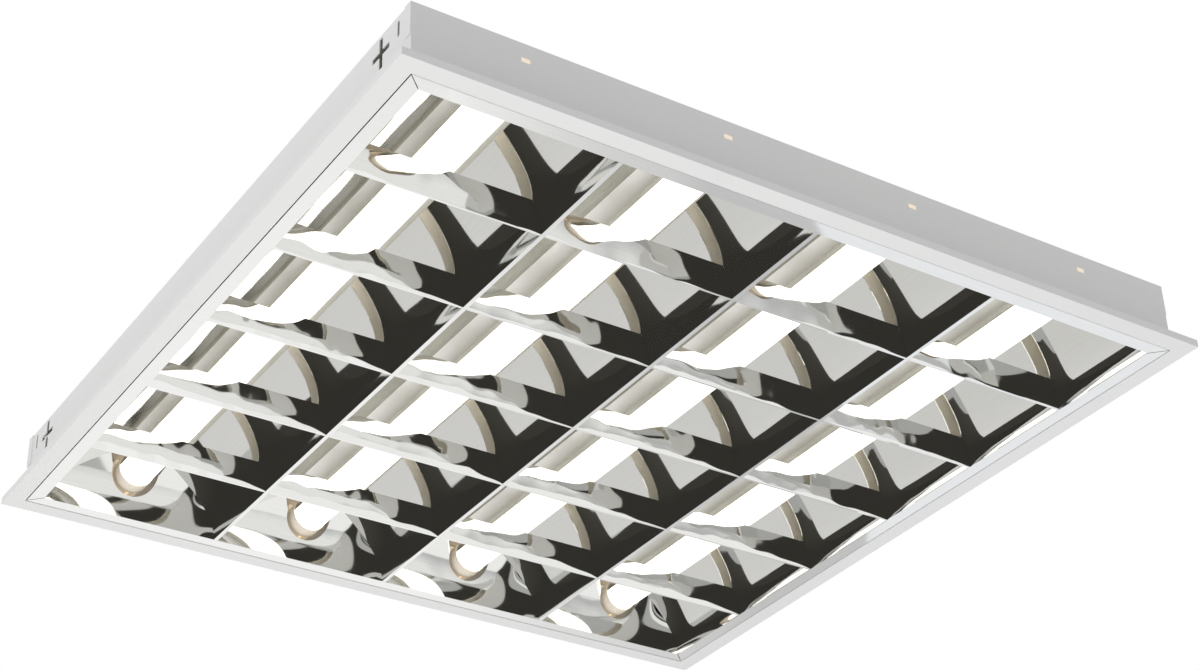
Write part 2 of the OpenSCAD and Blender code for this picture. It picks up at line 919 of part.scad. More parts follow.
module terminal_block() {
    color(plastic_white)
        difference() {
            block_at(0, -block_y, pan_z - block_h, block_w, block_l, block_h);
            for (way = [-1:1]) {
                translate([way * way_gap, -block_y, way_z])
                    rotate([90, 0, 0])
                        cylinder(r = way_r, h = block_l + 2 * over, center = true);
                translate([way * way_gap, -block_y, pan_z - block_h - over])
                    cylinder(r = clamp_r + fit, h = clamp_l + clamp_sink + over);
            }
            for (side = [-1, 1]) {
                translate([side * way_gap / 2, -block_y, pan_z - block_h - over])
                    cylinder(r = fix_r + fit, h = block_h + 2 * over);
                translate([side * way_gap / 2, -block_y, pan_z - block_h - over])
                    cylinder(r = fix_head_r + fit, h = fix_head_t + over);
            }
        }
}

module terminal_screws() {
    color(brass)
        for (way = [-1:1])
            translate([way * way_gap, -block_y, pan_z - block_h + clamp_sink])
                cylinder(r = clamp_r, h = clamp_l - fit);
}

// Screws that hold the block to the pan
module block_screws() {
    color(zinc)
        for (side = [-1, 1])
            translate([side * way_gap / 2, -block_y, pan_z - block_h]) {
                cylinder(r = fix_r, h = block_h + sheet_t);
                cylinder(r = fix_head_r, h = fix_head_t);
            }
}

module earth_screw() {
    head_z = pan_z - 2 * wire_r - fit - earth_head_t;
    color(brass)
        translate([earth_x, earth_y, 0]) {
            translate([0, 0, head_z])
                cylinder(r = earth_head_r, h = earth_head_t);
            translate([0, 0, head_z])
                cylinder(r = earth_r, h = body_h - head_z);
        }
}

module cable_grommet() {
    outer_r = grommet_r + grommet_lip;
    color("dimgray")
        translate([0, entry_y, pan_z - grommet_flange])
            difference() {
                cylinder(r = outer_r, h = sheet_t + 2 * grommet_flange);
                translate([0, 0, -over])
                    cylinder(r = entry_r, h = sheet_t + 2 * grommet_flange + 2 * over);
                translate([0, 0, grommet_flange])
                    difference() {
                        cylinder(r = outer_r + over, h = sheet_t);
                        cylinder(r = grommet_r, h = sheet_t);
                    }
            }
}

// A round wire through the points of its route

function unit(v) = v / norm(v);

function tangent(route, i) =
    unit(route[min(i + 1, len(route) - 1)] - route[max(i - 1, 0)]);

function ring(centre, along, sides) =
    let (side = unit(cross(along, [0, 1, 3])), up = cross(along, side))
        [for (j = [0:sides - 1])
            centre + wire_r * (cos(360 * j / sides) * side + sin(360 * j / sides) * up)];

module wire(route) {
    sides = 8;
    count = len(route);
    points = [for (i = [0:count - 1]) each ring(route[i], tangent(route, i), sides)];
    walls = [for (i = [0:count - 2], j = [0:sides - 1])
        let (a = i * sides + j, b = i * sides + (j + 1) % sides)
            each [[a, a + sides, b + sides], [a, b + sides, b]]];
    near_end = [for (j = [0:sides - 1]) j];
    far_end = [for (j = [sides - 1:-1:0]) (count - 1) * sides + j];
    polyhedron(points, concat([near_end], walls, [far_end]));
}

module wire_live() color("white") wire(live_route);
module wire_neutral() color("white") wire(neutral_route);
module wire_earth() color("yellowgreen") wire(earth_route);

body_tray();
end_plate_near();
end_plate_far();
lampholders_near();
lampholders_far();
hanger_rivets();
catch_springs();
terminal_block();
terminal_screws();
block_screws();
earth_screw();
cable_grommet();
wire_live();
wire_neutral();
wire_earth();
hanger_straps();
border_strips();
hinge_strip();
side_reflector_left();
side_reflector_right();
end_reflector_near();
end_reflector_far();
long_blade_1();
long_blade_2();
long_blade_3();
cross_blade_1();
cross_blade_2();
cross_blade_3();
cross_blade_4();
cross_blade_5();
hinge_pins();
tube_back_1();
tube_back_2();
tube_back_3();
tube_back_4();
tube_cover_1();
tube_cover_2();
tube_cover_3();
tube_cover_4();
led_board_1();
led_board_2();
led_board_3();
led_board_4();
driver_board_1();
driver_board_2();
driver_board_3();
driver_board_4();
tube_caps_1();
tube_caps_2();
tube_caps_3();
tube_caps_4();
tube_pins_1();
tube_pins_2();
tube_pins_3();
tube_pins_4();
rotors_1();
rotors_2();
rotors_3();
rotors_4();
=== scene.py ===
# %% [markdown]
# # A recessed louvre light
#
# This lesson dresses a square ceiling light of the kind that drops into a 600 mm
# grid. The metalwork, the lamp tubes and the hinged louvre come ready from the
# construction model, in metres, with +Z up into the ceiling and Y along the
# tubes. Here they get their finishes, the mirror louvre gets smooth curves, and
# the light is lit and looked at from below.

import json
import math

import bmesh
import bpy
from mathutils import Matrix, Vector


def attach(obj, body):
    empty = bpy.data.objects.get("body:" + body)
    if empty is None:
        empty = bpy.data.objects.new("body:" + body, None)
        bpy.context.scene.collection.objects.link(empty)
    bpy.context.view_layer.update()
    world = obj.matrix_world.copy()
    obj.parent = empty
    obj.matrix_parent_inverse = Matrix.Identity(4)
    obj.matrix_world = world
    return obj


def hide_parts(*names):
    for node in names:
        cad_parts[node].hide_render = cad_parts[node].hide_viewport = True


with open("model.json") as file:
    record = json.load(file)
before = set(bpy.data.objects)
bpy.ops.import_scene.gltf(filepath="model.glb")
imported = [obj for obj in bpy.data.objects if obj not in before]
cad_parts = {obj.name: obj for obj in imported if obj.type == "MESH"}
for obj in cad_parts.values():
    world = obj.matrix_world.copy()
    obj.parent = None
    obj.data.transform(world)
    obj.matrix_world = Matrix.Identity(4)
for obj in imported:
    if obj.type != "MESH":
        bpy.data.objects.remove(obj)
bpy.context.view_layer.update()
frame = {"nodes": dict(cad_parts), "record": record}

# %% [markdown]
# ## Where the eye is
#
# The light is seen from below, about 1.6 m away from its middle, past one
# corner. Sight lines over the four corners of a 595 mm square fix the place, the
# turn and the tilt of the camera. They are written here as numbers, which is
# simpler than aiming a camera by hand, and gives the same picture every time.

# %% Set up the camera
EYE = Vector((-0.7622, -1.1755, -0.7995))
TURN, TILT, ROLL = (math.radians(a) for a in (-33.758, -31.984, -1.824))
LENS_MM, SENSOR_MM = 70.457, 36.0
NEAREST_SEEN = 0.01


def sight_axes():
    level_reach = math.cos(TILT)
    forward = Vector((-math.sin(TURN) * level_reach, math.cos(TURN) * level_reach, -math.sin(TILT)))
    right = forward.cross(Vector((0, 0, 1))).normalized()
    up = right.cross(forward)
    level = math.cos(ROLL) * right + math.sin(ROLL) * up
    return level, math.cos(ROLL) * up - math.sin(ROLL) * right, forward


def add_camera():
    right, up, forward = sight_axes()
    lens = bpy.data.cameras.new("eye")
    lens.lens, lens.sensor_width, lens.clip_start = LENS_MM, SENSOR_MM, NEAREST_SEEN
    eye = bpy.data.objects.new("eye", lens)
    bpy.context.collection.objects.link(eye)
    eye.matrix_world = Matrix([
        [right.x, up.x, -forward.x, EYE.x],
        [right.y, up.y, -forward.y, EYE.y],
        [right.z, up.z, -forward.z, EYE.z],
        [0, 0, 0, 1],
    ])
    bpy.context.scene.camera = eye
    return eye


print("camera at", tuple(round(v, 3) for v in add_camera().location))

# %% [markdown]
# ## Finishes and their nodes
#
# Every finish is a Principled shader with a small web of texture nodes round it.
# Such a web can be drawn by hand in the shader editor, but a script can repeat
# it. Three helpers keep it short: `node` adds a node with its settings, `wire`
# joins two sockets, and `set_shader` fills in the shader's own values.

# %% Finish helpers
def new_finish(name):
    finish = bpy.data.materials.new(name)
    finish.use_nodes = True
    return finish, finish.node_tree, finish.node_tree.nodes["Principled BSDF"]


def node(tree, kind, inputs=None, **settings):
    made = tree.nodes.new(kind)
    for key, value in settings.items():
        setattr(made, key, value)
    for key, value in (inputs or {}).items():
        made.inputs[key].default_value = value
    return made


def wire(tree, start, end):
    tree.links.new(start, end)


def set_shader(shader, **values):
    for key, value in values.items():
        shader.inputs[key.replace("_", " ")].default_value = value


print("finish helpers:", new_finish.__name__, node.__name__, wire.__name__, set_shader.__name__)

# %% [markdown]
# ## Patterns in metres
#
# Paint, plastic and metal get their small unevenness from noise. A picture would
# do it too, but would have to be unwrapped on every piece. The noise reads Object
# coordinates, which are metres in the part's own frame, so a pattern keeps its
# real scale everywhere. Stretched along one way, its spots become lines.

# %% Grain
EVEN = (1, 1, 1)


def stretched_place(tree, scale):
    place = node(tree, "ShaderNodeTexCoord")
    stretch = node(tree, "ShaderNodeMapping", {"Scale": scale})
    wire(tree, place.outputs["Object"], stretch.inputs["Vector"])
    return stretch.outputs["Vector"]


def grain(tree, scale, size, detail=3.0, rough=0.5):
    """Noise that is stretched by scale, with about size bumps in a metre."""
    looks = {"Scale": size, "Detail": detail, "Roughness": rough}
    noise = node(tree, "ShaderNodeTexNoise", looks)
    wire(tree, stretched_place(tree, scale), noise.inputs["Vector"])
    return noise.outputs["Fac"]


print("an even grain is scaled by", EVEN)

# %% [markdown]
# ## From a pattern to colour, sheen and relief
#
# A noise is a number between 0 and 1, and mostly near the middle. A ramp turns it
# into a colour, a range into a roughness, and a bump node into a fine relief that
# catches the light without any more faces.

# %% Ramp, range and relief
NOISE_LOW, NOISE_HIGH = 0.3, 0.7


def ramp_between(tree, source, low, high, start=NOISE_LOW, stop=NOISE_HIGH):
    """A colour that goes from low to high while source goes from start to stop."""
    ramp = node(tree, "ShaderNodeValToRGB")
    first, last = ramp.color_ramp.elements
    first.position, last.position = start, stop
    first.color = (*low, 1)
    last.color = (*high, 1)
    wire(tree, source, ramp.inputs["Fac"])
    return ramp.outputs["Color"]


def range_between(tree, source, low, high):
    """A number that goes from low to high over the middle of a noise."""
    ends = {"From Min": NOISE_LOW, "From Max": NOISE_HIGH, "To Min": low, "To Max": high}
    spread = node(tree, "ShaderNodeMapRange", ends)
    wire(tree, source, spread.inputs["Value"])
    return spread.outputs["Result"]


def bump(tree, source, depth):
    relief = node(tree, "ShaderNodeBump", {"Distance": depth})
    wire(tree, source, relief.inputs["Height"])
    return relief.outputs["Normal"]


print("a ramp follows a noise from", NOISE_LOW, "to", NOISE_HIGH)

# %% [markdown]
# ## White powder coat
#
# The tray and its end plates are folded from thin steel and powder coated. The
# coat is a soft white with a faint orange-peel surface, one or two millimetres
# from crest to crest, and a slight unevenness in its sheen. A picture of a coat
# could be wrapped round the tray, but noise needs no unwrapping and stays sharp.

# %% Powder coat
PEEL_PER_METRE, PEEL_DEPTH = 900, 0.00004
CLOUDS_PER_METRE = 14
COAT_LOW, COAT_HIGH = (0.845, 0.850, 0.845), (0.865, 0.868, 0.862)
COAT_SHEEN = (0.40, 0.50)


def powder_coat():
    finish, tree, shader = new_finish("white_powder_coat")
    peel = grain(tree, EVEN, PEEL_PER_METRE, 2)
    cloud = grain(tree, EVEN, CLOUDS_PER_METRE, 3)
    wire(tree, ramp_between(tree, cloud, COAT_LOW, COAT_HIGH), shader.inputs["Base Color"])
    wire(tree, range_between(tree, cloud, *COAT_SHEEN), shader.inputs["Roughness"])
    wire(tree, bump(tree, peel, PEEL_DEPTH), shader.inputs["Normal"])
    return finish


white_coat = powder_coat()
print("made", white_coat.name)

# %% [markdown]
# ## Mirror aluminium
#
# The louvre is anodised aluminium of mirror grade. Its reflections are sharp, a
# little darker than what they mirror, and they swim slightly, because thin sheet
# is never quite flat. A wide, shallow noise does this without bending the sheet
# itself. The cross-blades are short and tightly bent, so theirs is a finish with
# closer and deeper waves. Faint rolling marks run along every sheet.

# %% Mirror aluminium
ALONG_X, ALONG_Y = 0, 1
STRETCH_ACROSS, STRETCH_ALONG = 60, 1.5
MARKS_PER_METRE = 30
MIRROR_LOW, MIRROR_HIGH = (0.84, 0.84, 0.825), (0.88, 0.88, 0.865)
MIRROR_SHEEN = (0.035, 0.06)
CALM_SWIM = {"waves": 12, "depth": 0.0009}
WAVY_SWIM = {"waves": 30, "depth": 0.0016}


def mirror_aluminium(name, along, swim):
    """along says which way the marks run, and swim how its reflections waver."""
    finish, tree, shader = new_finish(name)
    stretch = [STRETCH_ACROSS] * 3
    stretch[along] = STRETCH_ALONG
    marks = grain(tree, stretch, MARKS_PER_METRE, 4)
    waver = grain(tree, EVEN, swim["waves"], 1)
    wire(tree, ramp_between(tree, marks, MIRROR_LOW, MIRROR_HIGH), shader.inputs["Base Color"])
    wire(tree, range_between(tree, marks, *MIRROR_SHEEN), shader.inputs["Roughness"])
    wire(tree, bump(tree, waver, swim["depth"]), shader.inputs["Normal"])
    set_shader(shader, Metallic=1.0)
    return finish


mirror_along_y = mirror_aluminium("mirror_along_y", ALONG_Y, CALM_SWIM)
mirror_along_x = mirror_aluminium("mirror_along_x", ALONG_X, CALM_SWIM)
wavy_mirror = mirror_aluminium("wavy_mirror", ALONG_X, WAVY_SWIM)
print("made", mirror_along_y.name, mirror_along_x.name, wavy_mirror.name)

# %% [markdown]
# ## Metals inside
#
# The tube's back is satin aluminium, drawn through a die, so its fine lines run
# along Y. Straps, rivets and springs are zinc plated steel with a soft mottle,
# and contact pins and clamping screws are brass. One function makes all of them,
# because they differ only in colour, sheen and the way their noise is stretched.

# %% Metals
LINES_PER_METRE, LINE_DEPTH = 40, 0.00003
METAL_SHEEN_SPREAD = 0.05


def drawn_metal(name, colour, roughness, stretch=EVEN, contrast=0.04):
    finish, tree, shader = new_finish(name)
    lines = grain(tree, stretch, LINES_PER_METRE, 4)
    dark = tuple(c * (1 - contrast) for c in colour)
    sheen = (roughness - METAL_SHEEN_SPREAD, roughness + METAL_SHEEN_SPREAD)
    wire(tree, ramp_between(tree, lines, dark, colour), shader.inputs["Base Color"])
    wire(tree, range_between(tree, lines, *sheen), shader.inputs["Roughness"])
    wire(tree, bump(tree, lines, LINE_DEPTH), shader.inputs["Normal"])
    set_shader(shader, Metallic=1.0)
    return finish


metals = {
    "satin_aluminium": drawn_metal("drawn_aluminium", (0.68, 0.67, 0.62), 0.30, stretch=(60, 1, 60)),
    "zinc_steel": drawn_metal("zinc_plate", (0.66, 0.67, 0.68), 0.34, contrast=0.15),
    "brass": drawn_metal("bright_brass", (0.80, 0.62, 0.30), 0.24, contrast=0.08),
}
print("metals:", ", ".join(metals))

# %% [markdown]
# ## Plastics, rubber and boards
#
# Moulded plastic has a very fine texture and a little sheen. The boards are
# glass laminate under solder mask. Their tracks could be drawn one by one, but
# the boards lie inside the tubes, so a coarser noise with more contrast is
# enough to hint at them.

# %% Plastics
SKIN_SHEEN_SPREAD = 0.04


def moulded(name, colour, roughness, per_metre=1500, depth=0.00002, contrast=0.03):
    finish, tree, shader = new_finish(name)
    skin = grain(tree, EVEN, per_metre, 2)
    dark = tuple(c * (1 - contrast) for c in colour)
    sheen = (roughness - SKIN_SHEEN_SPREAD, roughness + SKIN_SHEEN_SPREAD)
    wire(tree, ramp_between(tree, skin, dark, colour), shader.inputs["Base Color"])
    wire(tree, range_between(tree, skin, *sheen), shader.inputs["Roughness"])
    wire(tree, bump(tree, skin, depth), shader.inputs["Normal"])
    return finish


green_print = {"per_metre": 220, "depth": 0.00004, "contrast": 0.35}
plastics = {
    "white_board": moulded("white_solder_mask", (0.90, 0.90, 0.86), 0.42, per_metre=300),
    "green_board": moulded("green_solder_mask", (0.10, 0.34, 0.18), 0.36, **green_print),
    "dark_rubber": moulded("dark_rubber", (0.05, 0.05, 0.05), 0.62, per_metre=700, depth=0.00004),
    "white_insulation": moulded("white_insulation", (0.86, 0.86, 0.83), 0.40, per_metre=400),
    "earth_insulation": moulded("earth_insulation", (0.38, 0.58, 0.10), 0.40, per_metre=400),
}
print("plastics:", ", ".join(plastics))

# %% [markdown]
# ## Lit opal cover
#
# The cover spreads the light of the sources behind it so well that it looks
# evenly white when lit. Light could be traced from the sources through it, which
# takes a renderer very long. The cover gives light itself here, at a level that
# reads as plain white and still lights the mirrors beside it.

# %% Opal cover
HAZE_STRETCH, HAZE_PER_METRE = (1, 0.2, 1), 60
OPAL_LOW, OPAL_HIGH, OPAL_ROUGH = (0.93, 0.93, 0.91), (0.96, 0.96, 0.95), 0.45
LAMP_COLOUR = (1.0, 0.95, 0.86, 1)
LAMP_GLOW = 1.35


def opal_cover():
    finish, tree, shader = new_finish("lit_opal_cover")
    haze = grain(tree, HAZE_STRETCH, HAZE_PER_METRE, 2)
    wire(tree, ramp_between(tree, haze, OPAL_LOW, OPAL_HIGH), shader.inputs["Base Color"])
    set_shader(shader, Roughness=OPAL_ROUGH, Emission_Color=LAMP_COLOUR, Emission_Strength=LAMP_GLOW)
    return finish


lit_opal = opal_cover()
print("made", lit_opal.name, "that glows at", LAMP_GLOW)

# %% [markdown]
# ## Plastic at the tubes' ends
#
# The lampholders, the tubes' caps and the terminal block are white mouldings.
# The light that the lit tubes throw on them is painted into them as a warm glow,
# so they shine a little by themselves, though they are no lamps. The holders
# carry the lit tubes' ends, and their noses show as small warm windows in the
# end plates, so they get more of this painted glow.

# %% Warm mouldings
WARM_WHITE, MOULDING_ROUGH = (0.88, 0.82, 0.72), 0.38
PAINTED_GLOW_COLOUR = (1.0, 0.80, 0.55, 1)
CAP_GLOW, HOLDER_GLOW = 0.14, 0.36


def glowing_moulding(name, glow):
    finish = moulded(name, WARM_WHITE, MOULDING_ROUGH)
    shader = finish.node_tree.nodes["Principled BSDF"]
    # The emission is painted light: the tubes' light falling on the moulding, given to it as a glow of
    # its own.
    set_shader(shader, Emission_Color=PAINTED_GLOW_COLOUR, Emission_Strength=glow)
    return finish


painted_glow_moulding = glowing_moulding("painted_glow_moulding", CAP_GLOW)
painted_glow_holder = glowing_moulding("painted_glow_holder", HOLDER_GLOW)
print("made", painted_glow_moulding.name, painted_glow_holder.name)

# %% [markdown]
# ## A finish for every piece
#
# The construction record says of each piece which material slot it has. A table
# from slot to finish dresses most of the light in one short loop, and nothing is
# forgotten. The lampholders and the flat strips round the louvre follow by name,
# because their finish depends on where they are.

# %% Finishes by slot
finishes = {
    "white_steel": white_coat,
    "opal_cover": lit_opal,
    "white_plastic": painted_glow_moulding,
    **metals,
    **plastics,
}
slot_of = {row["node"]: row["material_slot"] for row in frame["record"]["subparts"]}


def give_finish(piece, finish):
    piece.data.materials.clear()
    piece.data.materials.append(finish)


for name, slot_name in slot_of.items():
    if slot_name in finishes:
        give_finish(frame["nodes"][name], finishes[slot_name])
for name in ("lampholders_near", "lampholders_far"):
    give_finish(frame["nodes"][name], painted_glow_holder)
give_finish(frame["nodes"]["hinge_strip"], mirror_along_y)
give_finish(frame["nodes"]["border_strips"], mirror_along_x)
print("slots dressed by the table:", len(finishes))

# %% [markdown]
# ## Smooth mirror curves
#
# Each curved sheet is built from fourteen flat strips. A mirror shows such steps
# at once, although they are finer than anything the hand would feel. More strips
# would make a heavy part, so a copy of each sheet gets the normals of a smooth
# curve instead. The sheet swells as the square of its height, so its slope grows
# evenly from its foot to its full height, and every corner of a strip can be
# given the direction that belongs to its height.
#
# A curve has two pairs of slopes. The built pair is that of the strips, and
# tells a curved face from a flat edge. The shown pair is what the eye is given.
# The reflections on the real light say that a cross-blade leans more evenly than
# its strips do, and that a long blade's foot keeps a least slope.

# %% Curves of the sheets
MM = 0.001
SHEET_FLOOR = 0.3 * MM
LONG_CURVE = {"full": 43.0 * MM, "built": (0.0, 2.02), "shown": (0.0, 2.02), "least": 0.37}
SIDE_CURVE = {"full": 43.0 * MM, "built": (0.0, 2.21), "shown": (0.0, 2.21), "least": 0.0}
CROSS_CURVE = {"full": 19.5 * MM, "built": (0.0, 0.48), "shown": (0.36, 0.14), "least": 0.0}
END_CURVE = {"full": 43.0 * MM, "built": (0.0, 0.69), "shown": (0.0, 0.69), "least": 0.0}
UP = Vector((0, 0, 1))


def curve_normal(way, curve, height, state="shown"):
    """state is "built" for the strips as they are, or "shown" for the sheet that is seen."""
    foot, top = curve[state]
    slope = foot + (top - foot) * (height - SHEET_FLOOR) / curve["full"]
    if state == "shown":
        slope = max(slope, curve["least"])
    return (way - slope * UP).normalized()


for curve in (LONG_CURVE, SIDE_CURVE, CROSS_CURVE, END_CURVE):
    lean = math.degrees(math.atan(curve["built"][1]))
    print("a sheet", curve["full"], "m high leans out by", round(lean), "degrees at its top")

# %% [markdown]
# ## The backs of the sheets
#
# Only the outer side of a sheet is a mirror. Its back looks into a hollow blade
# or at the tray's wall and is plain metal. A finish that is mostly matt and only
# a little metallic shows that, and a louvre that hangs open doesn't glare.

# %% Plain backs
BACK_COLOUR, BACK_ROUGH, BACK_METAL = (0.95, 0.92, 0.85), 0.55, 0.2
sheet_back = drawn_metal("plain_sheet_back", BACK_COLOUR, BACK_ROUGH, contrast=0.06)
set_shader(sheet_back.node_tree.nodes["Principled BSDF"], Metallic=BACK_METAL)
print("made", sheet_back.name)

# %% [markdown]
# ## A copy with welded corners
#
# A piece from the construction model is a heap of loose triangles. It is never
# changed itself. Its copy is welded, so that neighbouring strips share corners.

# %% Weld a copy
SAME_PLACE = 1e-6


def welded_copy(name):
    old = frame["nodes"][name]
    piece = bpy.data.objects.new("smooth_" + name, old.data.copy())
    bpy.context.collection.objects.link(piece)
    shape = bmesh.new()
    shape.from_mesh(piece.data)
    bmesh.ops.remove_doubles(shape, verts=shape.verts, dist=SAME_PLACE)
    shape.to_mesh(piece.data)
    shape.free()
    return piece


print("corners closer than", SAME_PLACE, "m are welded")

# %% [markdown]
# ## Which faces are curved
#
# A sheet also has cut edges and slots, which are flat. A face counts as curved
# only if it looks nearly along the built curve, on the outside or on the back.
# The two sides of a blade look opposite ways, so the closest way is taken.

# %% Find the curved faces
CLOSE_TO_CURVE = 0.975


def nearest_way(face, ways, curve):
    """The way that the face looks along, or None, and 1 for its outside or -1 for its back."""
    best, side, closest = None, 1, CLOSE_TO_CURVE
    for way in ways:
        dot = curve_normal(way, curve, face.center.z, "built").dot(face.normal)
        if abs(dot) > closest:
            best, side, closest = way, 1 if dot > 0 else -1, abs(dot)
    return best, side


print("curved faces look within", round(math.degrees(math.acos(CLOSE_TO_CURVE))), "degrees of the curve")

# %% [markdown]
# ## Smoothing one sheet
#
# The corners of a curved face take the shown direction, and those of a flat one
# keep the face's own, so cut edges stay crisp. The finished copy stands in for
# the node and moves with the louvre.

# %% Smooth one sheet
OUTER, INNER = 0, 1


def sheet_normals(mesh, ways, curve):
    """A normal for every corner, and the side of the sheet for every face."""
    normals, sides = [None] * len(mesh.loops), []
    for face in mesh.polygons:
        way, side = nearest_way(face, ways, curve)
        sides.append(OUTER if side > 0 else INNER)
        for loop in face.loop_indices:
            height = mesh.vertices[mesh.loops[loop].vertex_index].co.z
            flat = way is None
            normals[loop] = face.normal.copy() if flat else side * curve_normal(way, curve, height)
    return normals, sides


def smooth_sheet(name, ways, curve, finish):
    piece = welded_copy(name)
    mesh = piece.data
    for face in mesh.polygons:
        face.use_smooth = True
    normals, sheet_sides = sheet_normals(mesh, ways, curve)
    mesh.normals_split_custom_set(normals)
    give_finish(piece, finish)
    mesh.materials.append(sheet_back)
    mesh.polygons.foreach_set("material_index", sheet_sides)
    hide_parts(name)
    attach(piece, "louvre")
    print(piece.name, "faces", len(mesh.polygons), "on the back", sheet_sides.count(INNER))
    return piece


print("a sheet has finish", OUTER, "outside and", INNER, "on its back")

# %% [markdown]
# ## The whole louvre
#
# The blades bulge to both sides, and a reflector only to the one that faces the
# tubes. Marks run along each sheet, as it came off the roll.

# %% Smooth the louvre
LEFT, RIGHT = Vector((-1, 0, 0)), Vector((1, 0, 0))
NEAR, FAR = Vector((0, -1, 0)), Vector((0, 1, 0))

for number in (1, 2, 3):
    smooth_sheet(f"long_blade_{number}", (LEFT, RIGHT), LONG_CURVE, mirror_along_y)
for number in (1, 2, 3, 4, 5):
    smooth_sheet(f"cross_blade_{number}", (NEAR, FAR), CROSS_CURVE, wavy_mirror)
smooth_sheet("side_reflector_left", (RIGHT,), SIDE_CURVE, mirror_along_y)
smooth_sheet("side_reflector_right", (LEFT,), SIDE_CURVE, mirror_along_y)
smooth_sheet("end_reflector_near", (FAR,), END_CURVE, mirror_along_x)
smooth_sheet("end_reflector_far", (NEAR,), END_CURVE, mirror_along_x)

# %% [markdown]
# ## A plain pale floor
#
# The light hangs over a wide pale floor. A rolled backdrop would do as well, but
# one large square is simpler, and nothing in it draws the eye. It lies low, so
# that the light can be looked at from straight below.

# %% Floor
FLOOR_Z = -4.5
FLOOR_SIDE = 24
FLOOR_GREY, FLOOR_ROUGH = (0.82, 0.82, 0.81), 0.9
FLOOR_CLOUDS_PER_METRE, FLOOR_CLOUD_LIFT = 1.5, 1.02


def plain_paint(name, colour):
    paint, tree, shader = new_finish(name)
    cloud = grain(tree, EVEN, FLOOR_CLOUDS_PER_METRE, 2)
    light = tuple(c * FLOOR_CLOUD_LIFT for c in colour)
    wire(tree, ramp_between(tree, cloud, colour, light), shader.inputs["Base Color"])
    set_shader(shader, Roughness=FLOOR_ROUGH)
    return paint


def lay_floor():
    floor = bpy.data.objects.new("pale_floor", bpy.data.meshes.new("pale_floor"))
    bpy.context.collection.objects.link(floor)
    shape = bmesh.new()
    bmesh.ops.create_grid(shape, x_segments=1, y_segments=1, size=FLOOR_SIDE / 2)
    bmesh.ops.translate(shape, vec=(0, 0, FLOOR_Z), verts=shape.verts)
    shape.to_mesh(floor.data)
    shape.free()
    give_finish(floor, plain_paint("pale_floor_paint", FLOOR_GREY))
    return floor


print("floor side in metres:", round(lay_floor().dimensions.x, 2))

# %% [markdown]
# ## Flags and cards for the mirrors
#
# A mirror shows whatever stands before it, so a photographer sets dark flags and
# white cards round one. A lit card would change with every lamp, so the cards
# here only shine, each in one tone or from one tone to another.

# %% Card paint
BLACK = (0, 0, 0, 1)


def card_paint(name, start_tone, end_tone, along, stop):
    """A paint that only shines, from one tone to another, which it reaches at the share stop."""
    paint, tree, shader = new_finish(name)
    set_shader(shader, Base_Color=BLACK, Roughness=1.0, Specular_IOR_Level=0.0)
    set_shader(shader, Emission_Strength=1.0)
    place = node(tree, "ShaderNodeTexCoord")
    split = node(tree, "ShaderNodeSeparateXYZ")
    wire(tree, place.outputs["UV"], split.inputs["Vector"])
    shade = ramp_between(tree, split.outputs[along], start_tone, end_tone, 0.0, stop)
    wire(tree, shade, shader.inputs["Emission Color"])
    return paint


print("cards shine out of", BLACK)

# %% [markdown]
# ## One bent card
#
# Each card is a grid that is bent round the light at a fixed distance, between
# two bearings and between two angles from straight down. Only mirrored rays meet
# it: the eye, the light on the white steel and the shadow on the floor stay free
# of it.

# %% One bent card
CARD_DISTANCE = 2.35
STEPS_ROUND, STEPS_UP = 24, 16
ALONG_BEARING, ALONG_HEIGHT = 0, 1


def between(ends, share):
    """The angle in radians that lies at share of the way from one end to the other."""
    return math.radians(ends[0] + share * (ends[1] - ends[0]))


def bent_card(name, bearings, from_down, start_tone, end_tone=None, along=ALONG_HEIGHT, stop=1.0):
    """Bearings run from +Y towards +X, and both angles are in degrees."""
    card = bpy.data.objects.new(name, bpy.data.meshes.new(name))
    bpy.context.collection.objects.link(card)
    shape = bmesh.new()
    shape.loops.layers.uv.new("card")
    half = 0.5
    bmesh.ops.create_grid(shape, x_segments=STEPS_ROUND, y_segments=STEPS_UP, size=half, calc_uvs=True)
    for corner in shape.verts:
        bearing = between(bearings, corner.co.x + half)
        down = between(from_down, corner.co.y + half)
        level_reach = math.sin(down)
        east, north = level_reach * math.sin(bearing), level_reach * math.cos(bearing)
        corner.co = Vector((east, north, -math.cos(down))) * CARD_DISTANCE
    shape.to_mesh(card.data)
    shape.free()
    paint = card_paint(name + "_paint", start_tone, end_tone or start_tone, along, stop)
    give_finish(card, paint)
    card.visible_camera = card.visible_diffuse = card.visible_shadow = False
    card.visible_transmission = False
    return card


print("a card has", STEPS_ROUND * STEPS_UP, "faces and stands", CARD_DISTANCE, "m away")

# %% [markdown]
# ## Where the cards stand
#
# The real blades show crisp black shapes, so dark flags stand round the eye and
# low on the left. The grey ones, which give the plain grey triangles, stand
# left and far. A card ends at the bearing where its neighbour starts.

